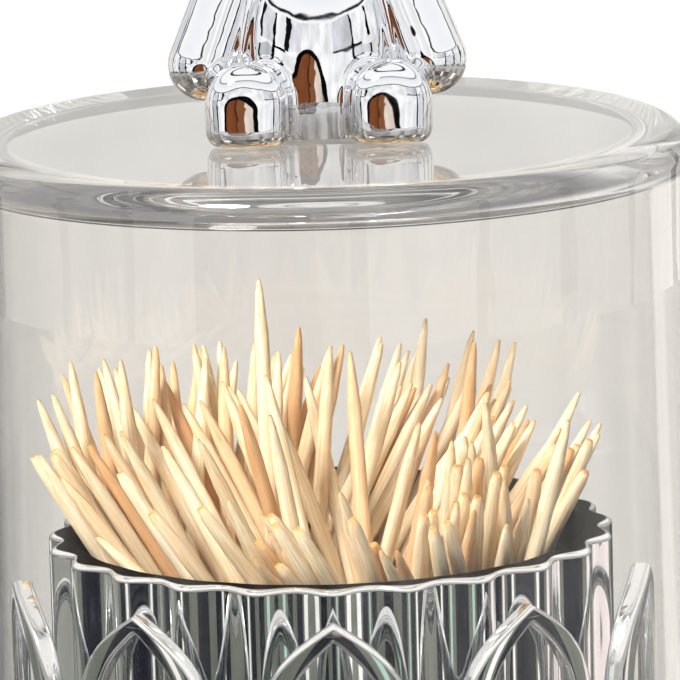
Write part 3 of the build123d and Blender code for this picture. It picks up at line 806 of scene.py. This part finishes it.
# standing panels: colours by degrees from the front, positive to the right, with uneven edges and brightness
panelShape = {"segments": 96, "unevenSize": 60 * mm, "unevenRange": (0.3, 0.7), "dimToBright": (0.75, 1.1)}
outerPanel = {"radius": 450 * mm, "bottom": 0.0, "seenFrom": "outside", "wobble": 6.0, "glow": 1.12}
panelSets = {
    "cupPanels": {
        "radius": 110 * mm, "bottom": 0.0, "top": 42 * mm, "seenFrom": "inside", "wobble": 2.0, "glow": 1.8,
        "bands": ((-180, navy), (-172, grey), (-158, "#2E4A4C"), (-142, grey), (-128, white), (-116, grey),
                  (-98, "#92958F"), (-82, grey), (-68, navy), (-52, grey), (-48, white), (-43, grey),
                  (-38, navy), (-22, grey), (-8, navy), (8, grey), (14, "#B4D6C8"), (18, grey), (22, navy),
                  (38, grey), (43, white), (48, grey), (52, navy), (68, grey), (82, "#F4E8EA"), (98, grey),
                  (112, navy), (128, grey), (142, "#0D0D10"), (158, grey), (172, navy))},
    "lowPanels": {
        **outerPanel, "top": 168 * mm,
        "bands": ((-180, pale), (-150, "#2A2A2E"), (-146, "#EFEAE0"), (-118, black), (-113, "#F2F1EE"),
                  (-86, dusk), (-82, "#C9CBD0"), (-62, black), (-58, white), (46, dusk), (50, "#E4E5EA"),
                  (74, black), (78, "#F2F1EE"), (104, black), (109, pale), (136, "#2A2A2E"), (140, pale))},
    "linePanels": {
        **outerPanel, "bottom": 168 * mm, "top": 178 * mm,
        "bands": ((-180, pale), (-118, black), (-113, white), (-62, black), (-44, white), (20, black),
                  (62, white), (104, black), (109, pale))},
    "highPanels": {
        **outerPanel, "bottom": 178 * mm, "top": 270 * mm,
        "bands": ((-180, pale), (-150, "#2A2A2E"), (-146, "#E4E5EA"), (-118, black), (-113, white),
                  (-86, dusk), (-82, "#E2E3E7"), (-62, black), (-58, white), (-45, "#141417"),
                  (-38, "#EDECF0"), (-20, white), (22, "#DADBE0"), (46, dusk), (50, white), (74, black),
                  (78, white), (104, black), (109, pale), (136, "#2A2A2E"), (140, pale))},
    # an arched window in front of them, with its dark surround
    "archSurround": {**outerPanel, "radius": 446 * mm, "top": 190 * mm, "glow": 1.0, "arch": (-38, 13),
                     "bands": ((-180, black),)},
    "archWindow": {
        **outerPanel, "radius": 442 * mm, "top": 172 * mm, "glow": 1.0, "arch": (-32, 8),
        "bands": ((-180, "#8A5030"), (-14, "#5E3320"), (-10, "#8F5B3B"), (-4, "#F6E6D6"), (4, "#8C8878"))}}
# what a light path has met: mirrors, and faces of the acrylic
pathTests = (("mirror", "GREATER_THAN", 0.5, "Glossy Depth"), ("edge", "COMPARE", 1.5, "Transmission Depth"),
             ("ahead", "LESS_THAN", 2.5, "Transmission Depth"),
             ("inside", "GREATER_THAN", 2.5, "Transmission Depth"))
edgeSpan = 0.75


def pathMarks(tree):  # 1 on paths that left a mirror outside the cover, one inside it, or the acrylic's edge
    path = addNode(tree, "LightPath").outputs
    met = {name: addNode(tree, "Math", {"operation": operation}, {1: level, 2: edgeSpan}, {0: path[count]})
           for name, operation, level, count in pathTests}
    marks = {"camera": path["Is Camera Ray"], "bounce": path["Is Diffuse Ray"]}
    for name in ("edge", "ahead", "inside"):
        marks[name] = addNode(tree, "Math", {"operation": "MULTIPLY"}, links={0: met["mirror"], 1: met[name]})
    marks["outside"] = addNode(tree, "Math", {"operation": "SUBTRACT"},
                               links={0: marks["ahead"], 1: marks["edge"]})
    return marks


def makeFloor():
    mesh = bpy.data.meshes.new("floor")
    half = stageLook["floorSize"] / 2
    corners = [(-half, -half, 0), (half, -half, 0), (half, half, 0), (-half, half, 0)]
    mesh.from_pydata(corners, [], [(0, 1, 2, 3)])
    paper, tree, shader = newMaterial("mattPaper", {
        "Roughness": stageLook["floorRoughness"], "Specular IOR Level": 0.0})
    here = addNode(tree, "TexCoord").outputs["Object"]
    place = addNode(tree, "SeparateXYZ", links={0: here}).outputs
    aim = addNode(tree, "VectorMath", {"operation": "NORMALIZE"}, links={0: here})
    rays = addNode(tree, "TexNoise", values={"Scale": stageLook["rayScale"], "Detail": 1.0},
                   links={"Vector": aim})
    shares = {}
    for name, source in (("rightFrom", place["X"]), ("rayRange", rays)):
        start, end = stageLook[name]
        shares[name] = addNode(tree, "MapRange", values={"From Min": start, "From Max": end},
                               links={"Value": source})
    marks = pathMarks(tree)
    for name, mark, share in (("outsideRay", "outside", "rayRange"), ("insideRay", "inside", "rayRange"),
                              ("edgeRay", "edge", "rayRange"), ("edgeRight", "edge", "rightFrom")):
        marks[name] = addNode(tree, "Math", {"operation": "MULTIPLY"},
                              links={0: marks[mark], 1: shares[share]})
    seen = None
    for mark, hexCode in mirroredPaper.items():
        below = {6: seen} if seen else {}
        seen = addNode(tree, "Mix", {"data_type": "RGBA"}, {6: stageLook["floor"], 7: hexCode},
                       {0: marks[mark], **below}).outputs[2]
    join(tree, shader, {"Base Color": seen})
    newPiece("floor", mesh, paper)


def fillRamp(ramp, stops):
    ramp.elements.remove(ramp.elements[0])
    for k, (place, hexCode) in enumerate(stops):
        stop = ramp.elements[0] if k == 0 else ramp.elements.new(place)
        stop.position = place
        stop.color = linearColour(hexCode)


def makeWorld():
    world = bpy.data.worlds.new("softRoom")
    scene.world = world
    world.use_nodes = True
    tree = world.node_tree
    marks = pathMarks(tree)
    direction = addNode(tree, "TexCoord").outputs["Generated"]
    aim = addNode(tree, "SeparateXYZ", links={0: direction}).outputs
    side = addNode(tree, "MapRange", values={"From Min": -1.0}, links={"Value": aim["X"]})
    mixed = tree.nodes["Background"]
    setInputs(mixed, {"Color": white, "Strength": stageLook["worldStrength"]})
    seen = {"camera": addNode(tree, "Background", values={"Color": white, "Strength": stageLook["backdrop"]})}
    for name, bands, source, glow in (
            ("edge", edgeBands, side, "edgeGlow"), ("outside", roomBands, aim["Z"], "roomGlow"),
            ("inside", cupRoomBands, aim["Z"], "cupRoomGlow")):
        ramp = addNode(tree, "ValToRGB", links={"Fac": source})
        fillRamp(ramp.color_ramp, bands)
        seen[name] = addNode(tree, "Background", values={"Strength": stageLook[glow]}, links={"Color": ramp})
    for name, shown in seen.items():
        mixed = addNode(tree, "MixShader", links={0: marks[name], 1: mixed, 2: shown})
    join(tree, tree.nodes["World Output"], {"Surface": mixed})


def makeSun():
    light = bpy.data.lights.new("softSun", "SUN")
    light.energy = stageLook["sunStrength"]
    light.angle = math.radians(stageLook["sunAngle"])
    sun = newPiece("softSun", light)
    sun.rotation_euler = Vector(stageLook["sunFrom"]).to_track_quat("Z", "Y").to_euler()


def panelMesh(name, look):  # standing ring, or an arch over part of it
    start, end = look.get("arch", (-180, 180))
    segments, tall = panelShape["segments"], look["top"] - look["bottom"]
    shares = [2 * k / segments - 1 for k in range(segments + 1)]
    turns = [math.radians((start + end) / 2 + share * (end - start) / 2) for share in shares]
    rise = [math.sqrt(1 - share ** 2) if "arch" in look else 1 for share in shares]
    corners = [(look["radius"] * math.sin(t), -look["radius"] * math.cos(t),
                look["bottom"] + tall * up * level) for level in (0, 1) for t, up in zip(turns, rise)]
    faces = [(k, k + 1, k + 2 + segments, k + 1 + segments) for k in range(segments)]
    mesh = bpy.data.meshes.new(name)
    mesh.from_pydata(corners, [], faces)
    return mesh


def makePanels(name, look):  # they show only after a mirror bounce
    material, tree, shader = newMaterial(name, {})
    tree.nodes.remove(shader)
    here = addNode(tree, "TexCoord").outputs["Object"]
    place = addNode(tree, "SeparateXYZ", links={0: here}).outputs
    front = addNode(tree, "Math", {"operation": "MULTIPLY"}, {1: -1.0}, {0: place["Y"]})
    angle = addNode(tree, "Math", {"operation": "ARCTAN2"}, links={0: place["X"], 1: front})
    share = addNode(tree, "MapRange", values={"From Min": -math.pi, "From Max": math.pi},
                    links={"Value": angle})
    uneven = addNode(tree, "TexNoise", values={"Scale": 1 / panelShape["unevenSize"], "Detail": 2.0},
                     links={"Vector": here})
    wobble = look["wobble"] / 360
    shift = addNode(tree, "MapRange", values={"To Min": -wobble, "To Max": wobble}, links={"Value": uneven})
    turned = addNode(tree, "Math", {"operation": "ADD"}, links={0: share, 1: shift})
    ramp = addNode(tree, "ValToRGB", links={"Fac": turned})
    ramp.color_ramp.interpolation = "CONSTANT"
    fillRamp(ramp.color_ramp, [(0.5 + degrees / 360, hexCode) for degrees, hexCode in look["bands"]])
    (start, end), (dim, bright) = panelShape["unevenRange"], panelShape["dimToBright"]
    patch = addNode(tree, "MapRange", values={
        "From Min": start, "From Max": end, "To Min": dim * look["glow"], "To Max": bright * look["glow"]},
        links={"Value": uneven})
    glow = addNode(tree, "Emission", links={"Color": ramp, "Strength": patch})
    clear = addNode(tree, "BsdfTransparent")
    both = addNode(tree, "MixShader", links={0: pathMarks(tree)[look["seenFrom"]], 1: clear, 2: glow})
    join(tree, tree.nodes["Material Output"], {"Surface": both})
    panels = newPiece(name, panelMesh(name, look), material)
    panels.visible_shadow = False
    panels.visible_diffuse = False


# Camera: long lens, a little above the cover, with a slight roll
cameraSetup = {"away": 645.1 * mm, "aboveCover": 104.7 * mm, "pitch": 11.386, "yaw": 0.154, "roll": 1.58,
               "focalPixels": 5611, "frameWidth": 680, "sensor": 36.0, "clip": (0.01, 50)}


def makeCamera():
    s = cameraSetup
    data = bpy.data.cameras.new("camera")
    data.sensor_width = s["sensor"]
    data.lens = s["sensor"] * s["focalPixels"] / s["frameWidth"]
    data.clip_start, data.clip_end = s["clip"]
    camera = newPiece("camera", data)
    turn = (Matrix.Rotation(-math.radians(s["yaw"]), 4, "Z")
            @ Matrix.Rotation(math.radians(90 - s["pitch"]), 4, "X")
            @ Matrix.Rotation(-math.radians(s["roll"]), 4, "Z"))
    camera.matrix_world = Matrix.Translation((0, -s["away"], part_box("cover")[1].z + s["aboveCover"])) @ turn
    scene.camera = camera


makeFloor()
makeWorld()
makeSun()
for name, look in panelSets.items():
    makePanels(name, look)
makeCamera()
light = scene.cycles  # thick clear acrylic guides light through many inner reflections
light.max_bounces = stageLook["bounces"]
light.glossy_bounces = light.transmission_bounces = stageLook["clearBounces"]
scene.view_settings.view_transform = "Standard"
print("stage ready")
